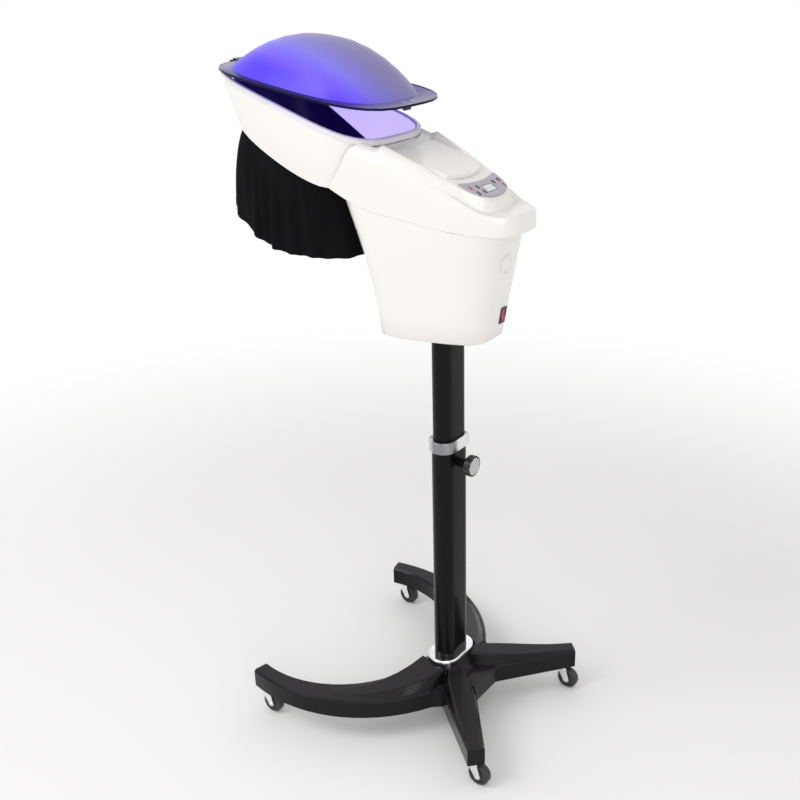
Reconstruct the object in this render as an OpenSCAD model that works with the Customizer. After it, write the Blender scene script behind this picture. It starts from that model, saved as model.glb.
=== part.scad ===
// Hair steamer on a rolling stand: an oval two-part column on a four-legged base carries a
// white head with a hood, a tinted lift-up lid and a curtain.
// X runs across, the hood points to -Y, and the floor is Z = 0.

/* [Casters] */
// Diameter of a caster wheel
wheel_d = 50; // [44:1:54]
// Width of a caster wheel
wheel_w = 18; // [14:1:20]
// Height of a caster from the floor to the underside of a leg
caster_h = 60; // [58:1:66]
// Distance of the wheel axle behind the swivel axis
caster_trail = 15; // [12:1:18]
// Diameter of the swivel stem
stem_d = 11; // [8:0.5:12]
// Length of the swivel stem inside the leg
stem_l = 28; // [20:1:32]
// Distance of the swivel axis from the tip of a leg
caster_inset = 24; // [22:1:30]

/* [Base] */
// Height of a leg's side
leg_h = 45; // [38:1:52]
// Radius of the crescent's inner edge at the hub
crescent_r = 240; // [232:1:250]
// Growth of that radius from the hub to the tips
crescent_open = 9; // [4:1:14]
// Width that a front leg has at the hub beyond its width at the tip
crescent_swell = 90; // [80:1:96]
// Angle that a front leg sweeps from straight back to its tip
crescent_sweep = 103; // [98:1:108]
// Distance of the crescent's centre in front of the column
crescent_c = 300; // [294:1:306]
// Length of a rear leg from the column's axis to the tip
rear_leg_l = 300; // [270:1:330]
// Angle of a rear leg from straight back
rear_leg_angle = 45; // [40:1:50]
// Width of a rear leg at the hub
rear_leg_w = 77; // [66:1:84]
// Width of every leg at its tip
leg_tip_w = 38; // [34:1:44]
// Bevel along the top edges of the legs
leg_bevel = 5; // [2:0.5:8]
// Height of the hub's boss above the legs
boss_h = 36; // [24:1:44]

/* [Column] */
// Width of the lower tube
tube_w = 90; // [86:1:94]
// Depth of the lower tube
tube_d = 52; // [50:1:56]
// Wall of the lower tube
tube_wall = 1.5; // [1.25:0.25:2]
// Height of the lower tube's mouth above the floor
tube_top = 690; // [640:1:720]
// Thickness of the guide bush between the two tubes
bush_t = 1.2; // [1:0.1:1.5]
// Wall of the upper tube
mast_wall = 2; // [1.5:0.25:2.5]
// Height of the upper tube's lower end above the floor, as shown
mast_bottom = 430; // [380:1:480]
// Height of the chrome collar
collar_h = 27; // [20:1:34]
// Wall of the chrome collar round the tube
collar_wall = 6; // [4:0.5:8]
// Height of the collar above the tube's mouth
collar_lip = 10; // [6:1:14]
// Height of the clamp knob's axis below the tube's mouth
knob_drop = 48; // [44:1:56]
// Diameter of the clamp knob's head
knob_d = 46; // [38:1:52]
// Length of the clamp knob's head
knob_l = 26; // [20:1:32]
// Number of flutes round the knob
flutes = 16; // [10:1:20]
// Diameter of the clamp screw
screw_d = 10; // [8:1:12]

/* [Lower housing] */
// Height of the housing's underside above the floor, as shown
body_z = 940; // [920:1:960]
// Height of the seam between the two casings above the underside
seam_h = 230; // [215:1:245]
// Slope of that seam from the nose towards the hood, in degrees
seam_slope = 7; // [6:0.5:8]
// Extra height of the seam where it meets the hood
seam_hook = 25; // [18:1:28]
// Reach of the housing in front of the column, at the underside
body_front = 112; // [104:1:120]
// Reach of the housing in front of the column, at its top
body_lean = 193; // [185:1:200]
// Reach of the housing behind the column, at the underside
body_back = 110; // [104:1:118]
// Reach of the housing behind the column, at its top
body_back_top = 150; // [140:1:158]
// Half width of the housing at its front
body_half = 110; // [106:1:114]
// Half width of the housing at its rear
body_half_back = 55; // [52:1:60]
// Wall of the moulded shells
shell_t = 3; // [2.5:0.25:4]

/* [Upper casing] */
// Half width of the casing at the hood
arm_half = 123; // [121:1:126]
// Half width of the casing at its nose
nose_half = 80; // [76:1:84]
// Reach of the nose behind the column
nose_back = 181; // [176:1:188]
// Height of the nose band above the seam
nose_h = 37; // [30:1:42]
// Depth of the hand grip's ledge
ledge_d = 46; // [40:1:50]
// Height of the deck over the column, above the underside of the housing
deck_h = 335; // [331:1:338]
// Fall of the deck from the hood to the panel, in degrees
deck_fall = 16; // [15:0.5:17]
// Height of the ribs above the deck, over the column
rib_h = 9; // [7:0.5:11]
// Fall of the ribs towards the nose, in degrees
rib_fall = 21.8; // [20:0.2:23]
// Distance of the panel's front corners behind the column
panel_y = 66; // [62:1:70]
// Fall of the control panel, in degrees
panel_fall = 24; // [22:0.5:26]
// Thickness of the tank cover
cover_t = 6.5; // [5:0.5:7]
// Width of the opening under the tank cover
bay_w = 100; // [90:1:110]
// Length of the opening under the tank cover
bay_l = 80; // [70:1:86]

/* [Hood] */
// Reach of the rim in front of the column
rim_front = 525; // [515:1:532]
// Length of the rim in plan
rim_l = 411; // [404:1:418]
// Height of the rim's front above the underside of the housing
rim_z = 484; // [476:1:490]
// Fall of the rim towards the column, in degrees
rim_fall = 14.7; // [13.5:0.1:15.5]
// Half width of the rim at its front
rim_half = 98; // [94:1:102]
// Width that the rim's rear has beyond the casing, on each side
rim_over = 8; // [4:1:10]
// Squareness of the rim's outline
rim_n = 3.9; // [3.4:0.1:4.4]
// Rake of the hood's front from the rim to the lower edge
hood_rake = 52; // [44:1:60]
// Half width of the lower edge at its front
hood_low_half = 94; // [90:1:97]
// Width that the lower edge's rear has beyond the casing, on each side
hood_over = 1; // [-2:1:2]
// Distance of the head opening's rear end in front of the column
nape_y = 203; // [199:1:207]
// Distance of the hood's rear wall in front of the column, at its foot
hood_foot_y = 150; // [144:1:156]
// Height of the lower edge's lowest stretch above the underside of the housing
hood_low_z = 286; // [284:1:290]
// Climb of the lower edge to the front
hood_low_climb = 98; // [90:1:104]
// Gap between the hood and its liner
liner_gap = 0.4; // [0.3:0.1:1]
// Wall of the liner
liner_t = 2; // [1.5:0.25:2.5]

/* [Lid] */
// Opening of the lid as shown, in degrees
lid_open = 8.3; // [7:0.1:10]
// Length of the lid's flange
lid_l = 456; // [448:1:460]
// Half width of the flange at its front
lid_half = 124; // [120:1:128]
// Half width of the flange at its rear
lid_half_back = 153; // [148:1:156]
// Thickness of the flange
lid_t = 4; // [3:0.5:5]
// Height of the dome above the flange
dome_h = 90; // [80:1:98]
// Wall of the dome
dome_t = 3; // [2:0.5:4]
// Width of the flange round the dome
lid_margin = 18; // [14:1:22]
// Width of the flange behind the dome
lid_margin_back = 36; // [30:1:42]
// Diameter of the hinge barrel at the front tip
hinge_d = 10; // [8:0.5:12]
// Diameter of the hinge pin
pin_d = 4; // [3:0.5:5]

/* [Curtain] */
// Drop of the curtain below the hood at its front
curtain_front = 190; // [170:1:210]
// Drop of the curtain below the hood at its rear
curtain_back = 150; // [135:1:160]
// Number of folds round the curtain
folds = 15; // [11:1:17]
// Depth of the folds at the hem
fold_d = 7; // [4:0.5:9]
// Thickness of the cloth
cloth_t = 1.6; // [1.2:0.2:2.2]

/* [Rear face and panel] */
// Height of the drain cap's axis above the underside of the housing
cap_z = 160; // [150:1:170]
// Diameter of the drain cap
cap_d = 30; // [26:1:34]
// Diameter of the ring round the drain cap
cap_ring_d = 41; // [38:1:44]
// Height of the mains inlet's centre above the underside of the housing
inlet_z = 48; // [42:1:54]
// Sideways place of the mains inlet
inlet_x = -20; // [-24:1:-16]
// Length of a key
key_l = 10; // [8:0.5:11]
// Width of a key
key_w = 4; // [3:0.5:5]
// Travel of a key
key_travel = 0.8; // [0.5:0.1:1]
// Width of the display window
display_w = 34; // [30:1:36]
// Depth of the display window
display_l = 22; // [18:1:24]

/* [Hidden] */
$fn = 72;

// Colours of the finishes
black_gloss = [0.10, 0.10, 0.11];
black_cloth = [0.06, 0.06, 0.07];
chrome = [0.80, 0.81, 0.83];
white_gloss = [0.96, 0.95, 0.92];
smoke = [0.30, 0.28, 0.42, 0.8];
violet = [0.38, 0.30, 0.95, 0.75];
grey = [0.62, 0.60, 0.66];
steel = [0.62, 0.63, 0.65];

// Gap beside a piece that moves, and beside one that is only seated
run = 0.3;
seat = 0.3;
fit = 0.08;

// The stand's own box runs from the lid hinge to the rear casters, and its middle is Y = 0
hinge_y = -rim_front - hinge_d - 1;
leg_z = caster_h;
leg_top = caster_h + leg_h;
boss_top = leg_top + boss_h;
front_caster_r = crescent_r + crescent_open + leg_tip_w / 2;
front_caster_turn = crescent_sweep - caster_inset / front_caster_r * 180 / PI;
rear_caster_r = rear_leg_l - caster_inset;
casters = [for (side = [-1, 1]) each [
  [side * front_caster_r * sin(front_caster_turn), front_caster_r * cos(front_caster_turn) - crescent_c],
  [side * rear_caster_r * sin(rear_leg_angle), rear_caster_r * cos(rear_leg_angle)]]];
rear_reach = casters[1].y + caster_trail + wheel_d / 2;
front_reach = -hinge_y + hinge_d / 2;
column_y = (front_reach - rear_reach) / 2;

// Tubes: each inner size follows from the one round it
mast_w = tube_w - 2 * (tube_wall + bush_t + run);
mast_d = tube_d - 2 * (tube_wall + bush_t + run);
knob_z = tube_top - knob_drop;
bush_l = knob_drop - screw_d - 4;
mast_top = body_z + 46;

// Turns that the deck, the panel and the rim lie at
deck_t = tan(deck_fall);
panel_t = tan(panel_fall);
rim_t = tan(rim_fall);

// Closed outline of an egg: ends at y0 and y1, half widths h0 and h1 there, n squares its
// corners and swell bows its sides. Points run from the rear end clockwise, seen from above.
function egg_point(e, a) = let (
    b = atan2(1.8 * sin(a), cos(a)),
    r = pow(pow(abs(cos(b)), e[4]) + pow(abs(sin(b)), e[4]), -1 / e[4]),
    u = r * cos(b),
    half = e[2] + (e[3] - e[2]) * (1 + u) / 2 + e[5] * (1 - u * u))
  [r * sin(b) * half, (e[0] + e[1]) / 2 + u * (e[1] - e[0]) / 2];
function egg(e, m) = [for (i = [0:m - 1]) egg_point(e, 360 * i / m)];
function inset(e, d) = [e[0] + d, e[1] - d, e[2] - d, e[3] - d, e[4], e[5]];
function mix(a, b, t) = a + (b - a) * t;
function lift(points, height) = [for (p = points) [p.x, p.y, height(p.y)]];
function flat(points, z) = [for (p = points) [p.x, p.y, z]];
function smooth(t) = let (c = max(0, min(1, t))) c * c * (3 - 2 * c);

// Skin through rings of equal count. A closed skin joins its last ring to its first, as the
// wall of a shell does, and an open one ends in two flat caps.
module skin(rings, closed = false) {
  m = len(rings[0]);
  k = len(rings);
  sides = [for (i = [0:closed ? k - 1 : k - 2], j = [0:m - 1])
    let (a = i * m + j, b = i * m + (j + 1) % m, n = (i + 1) % k * m)
    each [[a, b, n + (j + 1) % m], [a, n + (j + 1) % m, n + j]]];
  caps = closed ? [] : [[for (j = [m - 1:-1:0]) j], [for (j = [0:m - 1]) (k - 1) * m + j]];
  polyhedron(points = [for (r = rings) each r], faces = concat(sides, caps), convexity = 8);
}

// Section with two straight sides and round ends, as the tubes have
module oval(w, d) {
  for (s = [-1, 1]) translate([s * (w - d) / 2, 0]) circle(d = d);
  square([w - d, d], center = true);
}
module oval_pipe(w, d, wall, h) {
  linear_extrude(h) difference() {
    oval(w, d);
    oval(w - 2 * wall, d - 2 * wall);
  }
}
module at_column() { translate([0, column_y, 0]) children(); }

// Radial place of a front leg's two edges at an angle from straight back
function crescent_in(a) = crescent_r + crescent_open * a / crescent_sweep;
function crescent_wide(a) = leg_tip_w + crescent_swell * pow(1 - a / crescent_sweep, 1.6);
function around(r, a, z) = [r * sin(a), r * cos(a) - crescent_c, z];
crescent_root = 19;

// Section across a leg from edge r0 to edge r1, with its top edges bevelled
function leg_section(point, r0, r1) = [
  point(r0, leg_z), point(r0, leg_top - leg_bevel), point(r0 + leg_bevel, leg_top),
  point(r1 - leg_bevel, leg_top), point(r1, leg_top - leg_bevel), point(r1, leg_z)];

module front_leg(side) {
  steps = 16;
  at_column() color(black_gloss) difference() {
    mirror([side < 0 ? 1 : 0, 0, 0]) skin([for (i = [0:steps])
      let (a = mix(crescent_root, crescent_sweep, i / steps),
        r = crescent_in(a))
      leg_section(function (q, z) around(q, a, z), r, r + crescent_wide(a))]);
    at_caster(side < 0 ? 0 : 2) translate([0, 0, leg_z - 1]) cylinder(d = stem_d + 4, h = stem_l + 3);
    joint_holes();
  }
}

rear_root = 100;
module rear_leg(side) {
  half = function (s) mix(rear_leg_w, leg_tip_w, (s - rear_root) / (rear_leg_l - rear_root)) / 2;
  at_column() color(black_gloss) difference() {
    rotate([0, 0, -side * rear_leg_angle]) skin([for (s = [rear_leg_l, rear_root])
      leg_section(function (q, z) [q, s, z], -half(s), half(s))]);
    at_caster(side < 0 ? 1 : 3) translate([0, 0, leg_z - 1]) cylinder(d = stem_d + 4, h = stem_l + 3);
    joint_holes();
  }
}

// Corners of the hub where the legs meet it
function rear_corner(side) = let (h = side * rear_leg_w / 2)
  [rear_root * sin(rear_leg_angle) + h * cos(rear_leg_angle),
    rear_root * cos(rear_leg_angle) - h * sin(rear_leg_angle)];
hub_in = around(crescent_in(crescent_root), crescent_root, 0);
hub_out = around(crescent_in(crescent_root) + crescent_wide(crescent_root), crescent_root, 0);
hub_half = [[hub_in.x, hub_in.y], [hub_out.x, hub_out.y], rear_corner(1), rear_corner(-1)];

module base_hub() {
  boss = function (d, z) let (w = tube_w / 2 + d, l = tube_d / 2 + d)
    flat(egg([-l, l, w, w, 2.6, 0], 48), z);
  at_column() color(black_gloss) difference() {
    union() {
      translate([0, 0, leg_z]) linear_extrude(leg_h) difference() {
        polygon(concat(hub_half, [for (i = [3:-1:0]) [-hub_half[i].x, hub_half[i].y]]));
        translate([0, -crescent_c]) circle(r = crescent_in(crescent_root), $fn = 180);
      }
      skin([boss(30, leg_top - 2), boss(22, leg_top + 8), boss(15, boss_top)]);
      for (s = [-1, 1]) {
        gusset(s * rear_leg_angle, 46, rear_root - 2);
        gusset(s * 100, 58, 94);
      }
    }
    translate([0, 0, leg_z + 8]) linear_extrude(leg_h + boss_h) oval(tube_w, tube_d);
    ring_clip(seat);
    joint_holes();
  }
}

// Ridge that falls from the boss onto a leg
module gusset(a, r0, r1) {
  rotate([0, 0, 90 - a]) translate([0, 7, 0]) rotate([90, 0, 0]) linear_extrude(14)
    polygon([[r0 - 14, leg_top - 3], [r1, leg_top - 3], [r1, leg_top], [r0, boss_top - 4],
        [r0 - 14, boss_top - 4]]);
}

// Steel plates under the joints of the legs, and their bolts
plate_t = 4;
plate_l = 64;
bolt_d = 8;
bolt_deep = 18;
joints = [for (s = [-1, 1]) each [
  [s * (hub_in.x + hub_out.x) / 2, (hub_in.y + hub_out.y) / 2, -s * crescent_root],
  [s * rear_root * sin(rear_leg_angle), rear_root * cos(rear_leg_angle), 90 - s * rear_leg_angle]]];
module at_joints() {
  for (q = joints) translate([q.x, q.y, 0]) rotate([0, 0, q.z]) children();
}
module joint_holes() {
  at_joints() for (s = [-1, 1]) translate([s * (plate_l / 2 - 12), 0, leg_z - 1])
    cylinder(d = bolt_d, h = bolt_deep + 1);
}
module joint_plates() {
  at_column() color(steel) difference() {
    at_joints() translate([-plate_l / 2, -16, leg_z - plate_t]) cube([plate_l, 32, plate_t]);
    at_joints() for (s = [-1, 1]) translate([s * (plate_l / 2 - 12), 0, leg_z - plate_t - 1])
      cylinder(d = bolt_d, h = plate_t + 2);
  }
}
module leg_bolts() {
  head_h = 5;
  at_column() color(steel) at_joints() for (s = [-1, 1])
    translate([s * (plate_l / 2 - 12), 0, leg_z - plate_t]) {
      cylinder(d = bolt_d, h = plate_t + bolt_deep - 1);
      translate([0, 0, -head_h]) cylinder(d = 13, h = head_h, $fn = 6);
    }
}

// Chrome ring that hides the joint of the tube and the hub, with the clip that locks it
ring_h = 7;
ring_out = 17;
module ring_clip(d) {
  translate([(tube_w - tube_d) / 2, 0, boss_top]) rotate([0, 0, 42])
    translate([tube_d / 2 + ring_out - 4 - d, -4.5 - d, ring_h - 27 - d])
      cube([5 + 20 * d, 9 + 2 * d, 24 + d]);
}
module base_ring() {
  at_column() color(chrome) {
    translate([0, 0, boss_top]) difference() {
      union() {
        linear_extrude(ring_h - 2.5) oval(tube_w + 2 * ring_out, tube_d + 2 * ring_out - 8);
        linear_extrude(ring_h) oval(tube_w + 2 * ring_out - 6, tube_d + 2 * ring_out - 14);
      }
      translate([0, 0, -1]) linear_extrude(ring_h + 2) oval(tube_w, tube_d);
    }
    ring_clip(0);
  }
}

module lower_tube() {
  at_column() color(black_gloss) difference() {
    union() {
      translate([0, 0, leg_z + 8]) oval_pipe(tube_w, tube_d, tube_wall, tube_top - leg_z - 8);
      translate([0, tube_d / 2 - tube_wall / 2, knob_z]) rotate([-90, 0, 0])
        cylinder(d = neck_d, h = neck_l + tube_wall / 2);
    }
    translate([0, 0, knob_z]) rotate([-90, 0, 0]) cylinder(d = screw_d + 2 * fit, h = tube_d);
  }
}
module tube_bush() {
  at_column() color(grey) translate([0, 0, tube_top - bush_l])
    oval_pipe(tube_w - 2 * tube_wall, tube_d - 2 * tube_wall, bush_t, bush_l);
}

// Collar seated over the tube's mouth, with the lip that keeps dust off the sliding fit
module clamp_collar() {
  at_column() color(chrome) translate([0, 0, tube_top + collar_lip - collar_h]) difference() {
    union() {
      linear_extrude(collar_h) oval(tube_w + 2 * collar_wall - 3, tube_d + 2 * collar_wall - 3);
      translate([0, 0, 2]) linear_extrude(collar_h - 4) oval(tube_w + 2 * collar_wall,
        tube_d + 2 * collar_wall);
    }
    translate([0, 0, -1]) linear_extrude(collar_h - collar_lip + 1) oval(tube_w, tube_d);
    linear_extrude(collar_h + 1) oval(mast_w + 2 * run, mast_d + 2 * run);
  }
}

// Clamp: a screw through a boss on the tube's rear wall, with a fluted head
neck_d = 20;
neck_l = 13;
knob_y = tube_d / 2 + neck_l + run;
module on_knob() { translate([0, knob_y, knob_z]) rotate([-90, 0, 0]) children(); }
module clamp_screw() {
  reach = knob_y - mast_d / 2 - run;
  at_column() color(steel) on_knob() translate([0, 0, -reach])
    cylinder(d = screw_d, h = reach + knob_l * 0.6);
}
module clamp_knob() {
  at_column() color(black_gloss) on_knob() difference() {
    union() {
      cylinder(d1 = neck_d, d2 = knob_d * 0.62, h = knob_l * 0.35);
      translate([0, 0, knob_l * 0.35]) cylinder(d1 = knob_d * 0.8, d2 = knob_d, h = knob_l * 0.15);
      translate([0, 0, knob_l * 0.5]) cylinder(d = knob_d, h = knob_l * 0.5);
    }
    for (i = [0:flutes - 1]) rotate([0, 0, i * 360 / flutes]) translate([knob_d / 2 + 1, 0, knob_l * 0.3])
      cylinder(d = 5, h = knob_l, $fn = 24);
    translate([0, 0, -1]) cylinder(d = screw_d, h = knob_l * 0.6 + 1);
    translate([0, 0, knob_l - 1]) cylinder(d = knob_d - 8, h = 2);
  }
}
module knob_disc() {
  at_column() color(chrome) on_knob() translate([0, 0, knob_l - 1]) cylinder(d = knob_d - 8, h = 2);
}

// Casters
module at_caster(i) { translate([casters[i].x, casters[i].y, 0]) children(); }
flange_t = 1.5;
cheek_t = 2.5;
axle_d = 6;
module caster_sockets() {
  at_column() color(grey) for (i = [0:3]) at_caster(i) difference() {
    union() {
      translate([0, 0, leg_z - flange_t]) cylinder(d = stem_d + 14, h = flange_t);
      translate([0, 0, leg_z - flange_t]) cylinder(d = stem_d + 4, h = stem_l + 2 + flange_t);
    }
    translate([0, 0, leg_z - flange_t - 1]) cylinder(d = stem_d + 2 * fit, h = stem_l + 2);
  }
}
module caster_fork(i) {
  plate_z = leg_z - flange_t - run - 3;
  cheek_y = wheel_w / 2 + 1;
  at_column() color(chrome) at_caster(i) {
    translate([0, 0, plate_z]) cylinder(d = stem_d + 18, h = 3);
    translate([0, 0, plate_z]) cylinder(d = stem_d, h = stem_l + 1);
    for (s = [-1, 1]) translate([s > 0 ? cheek_y : -cheek_y - cheek_t, 0, 0]) rotate([90, 0, 90])
      linear_extrude(cheek_t) {
        translate([caster_trail, wheel_d / 2]) circle(r = 8);
        polygon([[-stem_d / 2 - 6, plate_z + 1], [stem_d / 2 + 8, plate_z + 1],
            [caster_trail + 8, wheel_d / 2], [caster_trail - 7.6, wheel_d / 2 - 2]]);
      }
    translate([-cheek_y - cheek_t - 1, caster_trail, wheel_d / 2]) rotate([0, 90, 0])
      cylinder(d = axle_d, h = 2 * (cheek_y + cheek_t + 1));
  }
}
module caster_wheel(i) {
  r = wheel_d / 2;
  at_column() color(black_gloss) at_caster(i) translate([0, caster_trail, r]) rotate([0, 90, 0])
    rotate_extrude()
    polygon([[axle_d / 2 + fit, -wheel_w / 2], [9, -wheel_w / 2], [10, -wheel_w / 2 + 3],
      [r - 8, -wheel_w / 2 + 3], [r - 7, -wheel_w / 2], [r - 2, -wheel_w / 2], [r, -wheel_w / 2 + 3],
      [r, wheel_w / 2 - 3], [r - 2, wheel_w / 2], [r - 7, wheel_w / 2], [r - 8, wheel_w / 2 - 3],
      [10, wheel_w / 2 - 3], [9, wheel_w / 2], [axle_d / 2 + fit, wheel_w / 2]]);
}

// Upper tube and the flange that the head is screwed to
module upper_tube() {
  at_column() color(black_gloss) translate([0, 0, mast_bottom])
    oval_pipe(mast_w, mast_d, mast_wall, mast_top - mast_bottom);
}
flange_w = mast_w + 40;
flange_d = mast_d + 50;
module mast_flange() {
  at_column() color(steel) translate([0, 0, body_z + shell_t]) difference() {
    union() {
      translate([-flange_w / 2, -flange_d / 2, 0]) cube([flange_w, flange_d, 5]);
      linear_extrude(mast_top - body_z - shell_t) oval(mast_w + 10, mast_d + 10);
    }
    translate([0, 0, -1]) linear_extrude(60) oval(mast_w, mast_d);
    floor_screw_holes(-1);
  }
}
floor_screws = [for (x = [-1, 1], y = [-1, 1]) [x * (flange_w / 2 - 8), y * (flange_d / 2 - 10)]];
module floor_screw_holes(z) {
  for (q = floor_screws) translate([q.x, q.y, z]) cylinder(d = 5, h = 12);
}

// Heights of the head's main surfaces along its length
seam_flat = 80;
seam_bend = 100;
function seam_z(y) = body_z + seam_h + tan(seam_slope) * max(0, seam_flat - y)
  + seam_hook * pow(max(0, (-seam_bend - y) / (body_lean - seam_bend)), 1.5);
function deck_z(y) = body_z + deck_h - deck_t * y;
function panel_z(y) = deck_z(panel_y) - panel_t * (y - panel_y);
function top_z(y) = y < panel_y ? deck_z(y) : panel_z(y);
function rim_plane(y) = body_z + rim_z - rim_t * (y + rim_front);
rib_tip = -96;
function crest_z(y) = y > panel_y ? panel_z(y) : max(deck_z(y), min(
  deck_z(0) + rib_h - tan(rib_fall) * y,
  rim_plane(y) - 2 + 1.2 * max(0, y - rib_tip),
  deck_z(y) + 0.3 * max(0, panel_y - 10 - y)));

// Outline of the hood's rim, and the line behind it that the ribs' front ends keep to
rim_half_back = arm_half + rim_over;
rim_egg = [-rim_front, rim_l - rim_front, rim_half, rim_half_back, rim_n, 0];
trim_out = 3;
function egg_back(e, x) = (e[0] + e[1]) / 2 + (e[1] - e[0]) / 2 * pow(1 - pow(x / e[3], e[4]), 1 / e[4]);
function behind_rim(x) = egg_back(rim_egg, x) + trim_out + 3;

// Lower housing: plans that grow and lean forward as they rise
function body_egg(t) = [-mix(body_front, body_lean, pow(t, 1.8)), mix(body_back, body_back_top, t),
  mix(body_half, arm_half + 2, t), mix(body_half_back, nose_half - 4, t), 5, mix(7, 3, t)];
function body_ring(t, d) = lift(egg(inset(body_egg(t), d), 56),
  function (y) mix(body_z, seam_z(y) - seat, t));
rear_lean = atan((body_back_top - body_back) / seam_h);
module at_rear(x, h) {
  translate([x, body_back + (body_back_top - body_back) * h / seam_h, body_z + h])
    rotate([-90 - rear_lean, 0, 0]) children();
}
switch_size = [17, 32];
module lower_housing() {
  levels = [0, 0.2, 0.4, 0.6, 0.78, 0.9, 1];
  at_column() color(white_gloss) difference() {
    skin(concat([flat(egg(inset(body_egg(0), 2.5), 56), body_z)],
        [for (t = levels) [for (q = body_ring(t, 0)) t > 0 ? q : q + [0, 0, 2.5]]],
        [for (i = [len(levels) - 1:-1:0]) body_ring(levels[i], shell_t)]), closed = true);
    at_rear(0, cap_z) translate([0, 0, -12]) cylinder(d = cap_ring_d - 6, h = 24);
    at_rear(inlet_x, inlet_z) translate([-switch_size.x / 2, -switch_size.y / 2, -12])
      cube([switch_size.x, switch_size.y, 24]);
  }
}
inlet_size = [28, 21];
inlet_y = body_back - 32;
module housing_floor() {
  at_column() color(white_gloss) difference() {
    translate([0, 0, body_z]) linear_extrude(shell_t) difference() {
      polygon(egg(inset(body_egg(0), shell_t + seat), 56));
      oval(mast_w + 1, mast_d + 1);
      translate([0, inlet_y]) square(inlet_size, center = true);
    }
    floor_screw_holes(body_z - 1);
  }
}
module floor_screws() {
  at_column() color(steel) for (q = floor_screws) translate([q.x, q.y, body_z]) {
    translate([0, 0, -3]) cylinder(d = 9, h = 3);
    cylinder(d = 5, h = shell_t + 5);
  }
}

// Upper casing: rows of a horseshoe that runs from the hood round the nose and back. Each row
// has its ends in y, its half widths there, its squareness, its share of the way from the seam
// up to the crest along the sides, and its height above the seam round the nose.
casing_rows = [
  [-body_lean - 1, nose_back, arm_half, nose_half, 5, 0, 0],
  [-178, nose_back, arm_half - 0.5, nose_half, 5, 0.3, nose_h * 0.4],
  [-163, nose_back - 0.5, arm_half - 1.5, nose_half - 0.5, 5, 0.55, nose_h * 0.85],
  [-156, nose_back - 2, arm_half - 3, nose_half - 2, 5, 0.7, nose_h - 1],
  [-153, nose_back - 5, arm_half - 4.5, nose_half - 3, 4.6, 0.76, nose_h],
  [-150, nose_back - ledge_d, arm_half - 6, nose_half - 2, 4, 0.81, nose_h],
  [-147, nose_back - ledge_d - 2, arm_half - 9, nose_half - 6, 4.2, 0.87, nose_h + 3],
  [behind_rim(arm_half - 15), nose_back - ledge_d - 6, arm_half - 15, nose_half - 12, 4.4, 0.94,
    nose_h + 17],
  [behind_rim(arm_half - 22), nose_back - ledge_d - 10, arm_half - 22, nose_half - 18, 5.5, 0.985, -1],
  [behind_rim(arm_half - 29), nose_back - ledge_d - 13, arm_half - 29, nose_half - 23, 6, 1, -1],
  [-122, nose_back - ledge_d - 17, arm_half - 36, nose_half - 29, 6, 1.1, -1],
  [-114, 92, 46, 30, 6, 1.1, -1],
  [-110, panel_y, 0, 0, 6, 1.1, -1]];
casing_steps = 44;
function casing_xy(row, i, d) = let (
    a = 180 * i / casing_steps - 90,
    b = atan2(2.2 * sin(a), cos(a)),
    r = pow(pow(abs(cos(b)), row[4]) + pow(abs(sin(b)), row[4]), -1 / row[4]),
    u = r * cos(b),
    t = row[2] > 0 ? d : 0)
  [r * sin(b) * (mix(row[2], row[3], u) - t), row[0] + u * (row[1] - d - row[0]), u];
function casing_point(row, i, d) = let (
    q = casing_xy(row, i, d),
    side = row[5] > 1 ? top_z(q.y) : mix(seam_z(q.y), crest_z(q.y), row[5]),
    nose = row[6] < 0 ? top_z(q.y) : seam_z(q.y) + row[6],
    drop = row[5] > 0.6 ? d : 0)
  [q.x, q.y, mix(side, nose, smooth((q.z - 0.76) / 0.18)) - drop];
module casing_skin() {
  n = len(casing_rows);
  m = casing_steps + 1;
  points = [for (d = [0, shell_t], row = casing_rows, i = [0:casing_steps]) casing_point(row, i, d)];
  at = function (wall, row, i) (wall * n + row) * m + i;
  quads = concat(
    [for (j = [0:n - 2], i = [0:m - 2])
      [at(0, j, i), at(0, j + 1, i), at(0, j + 1, i + 1), at(0, j, i + 1)]],
    [for (j = [0:n - 2], i = [0:m - 2])
      [at(1, j, i), at(1, j, i + 1), at(1, j + 1, i + 1), at(1, j + 1, i)]],
    [for (i = [0:m - 2]) [at(0, 0, i), at(0, 0, i + 1), at(1, 0, i + 1), at(1, 0, i)]],
    [for (j = [0:n - 2]) [at(0, j, 0), at(1, j, 0), at(1, j + 1, 0), at(0, j + 1, 0)]],
    [for (j = [0:n - 2]) [at(0, j, m - 1), at(0, j + 1, m - 1), at(1, j + 1, m - 1), at(1, j, m - 1)]]);
  polyhedron(points = points, faces = [for (q = quads) each [[q[0], q[1], q[2]], [q[0], q[2], q[3]]]],
    convexity = 8);
}
bay_front = -62;
module upper_casing() {
  at_column() color(white_gloss) difference() {
    casing_skin();
    translate([-bay_w / 2, bay_front, deck_z(bay_front + bay_l) - 20]) cube([bay_w, bay_l, 60]);
  }
}

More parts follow.
